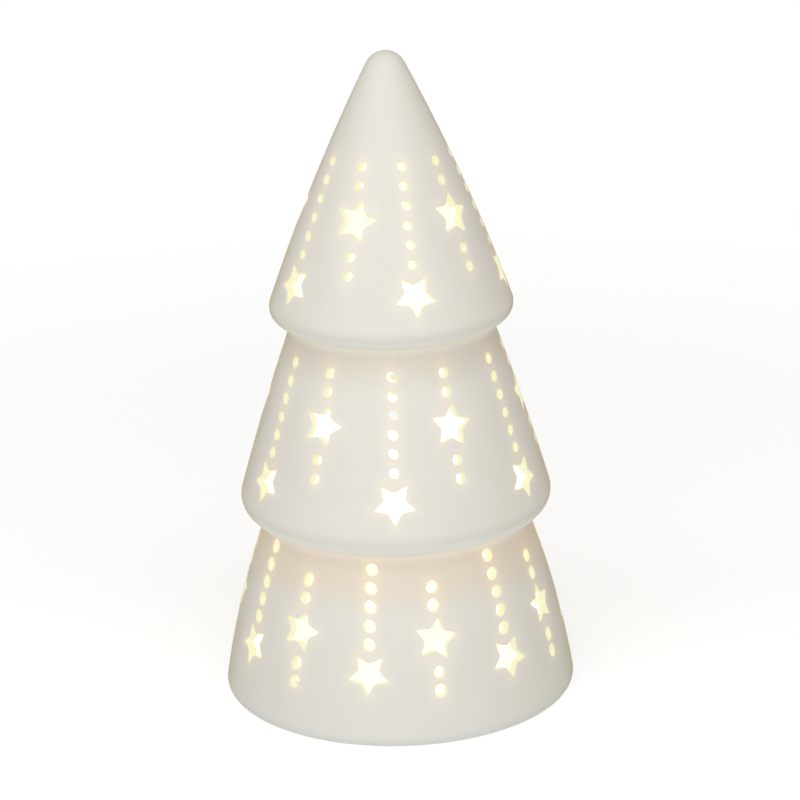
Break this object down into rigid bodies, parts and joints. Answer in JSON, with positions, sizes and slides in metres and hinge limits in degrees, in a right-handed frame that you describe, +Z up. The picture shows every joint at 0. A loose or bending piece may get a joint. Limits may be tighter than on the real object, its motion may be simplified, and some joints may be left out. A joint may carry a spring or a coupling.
{
  "type": "ceramic christmas tree light",
  "caption": "Three-tier white porcelain christmas tree, pierced with strings of dots and five-point stars, lit from inside by a battery light unit in its base.",
  "frame": {"origin": "on the shelf, at the middle of the porcelain's foot ring", "axes": "+Z up along the tree's axis, -Y to the front that the picture shows, +X to its right"},
  "size_m": [0.098, 0.098, 0.18],
  "materials": {
    "porcelain": "unglazed, fine matt bisque",
    "white_abs": "moulded, light texture",
    "black_plastic": "moulded",
    "silicone": "soft, translucent white",
    "steel": "zinc plated",
    "nickel": "nickel plated",
    "tinned_wire": "tinned",
    "board": "green solder mask",
    "resistor_body": "lacquered",
    "phenolic": "pressed laminate",
    "cell_film": "shrunk film",
    "red_pvc": "extruded",
    "blue_pvc": "extruded",
    "black_pvc": "extruded",
    "led_epoxy": "clear epoxy, lit warm white"
  },
  "bodies": {
    "light_unit": {"unit_base": "white_abs", "unit_cover": "white_abs", "cover_screws": "steel", "grip_ring": "silicone", "circuit_board": "board", "resistor": "resistor_body", "resistor_leads": "tinned_wire", "switch_case": "steel", "switch_base": "phenolic", "switch_pins": "tinned_wire", "contact_positive": "nickel", "contact_negative": "nickel", "contact_bridge_right": "nickel", "contact_bridge_left": "nickel", "wire_red": "red_pvc", "wire_blue": "blue_pvc", "wire_black": "black_pvc", "led_1": "led_epoxy", "led_legs_1": "tinned_wire", "cell_1": "steel", "cell_sleeve_1": "cell_film", "spring_1": "nickel", "led_2": "led_epoxy", "led_legs_2": "tinned_wire", "cell_2": "steel", "cell_sleeve_2": "cell_film", "spring_2": "nickel", "led_3": "led_epoxy", "led_legs_3": "tinned_wire", "cell_3": "steel", "cell_sleeve_3": "cell_film", "spring_3": "nickel"},
    "tree": {"porcelain_tree": "porcelain"},
    "door": {"battery_door": "white_abs"},
    "slider": {"switch_slider": "black_plastic"}
  },
  "joints": [
    {"name": "tree_lift", "type": "slide", "parent": "light_unit", "child": "tree", "axis": [0, 0, 1], "range_m": [0, 0.045]},
    {"name": "door_hinge", "type": "hinge", "parent": "light_unit", "child": "door", "pos_m": [-0.02845, 0, 0.0036], "axis": [0, 1, 0], "range_deg": [0, 90]},
    {"name": "switch_slide", "type": "slide", "parent": "light_unit", "child": "slider", "axis": [-1, 0, 0], "range_m": [0, 0.002]}
  ]
}
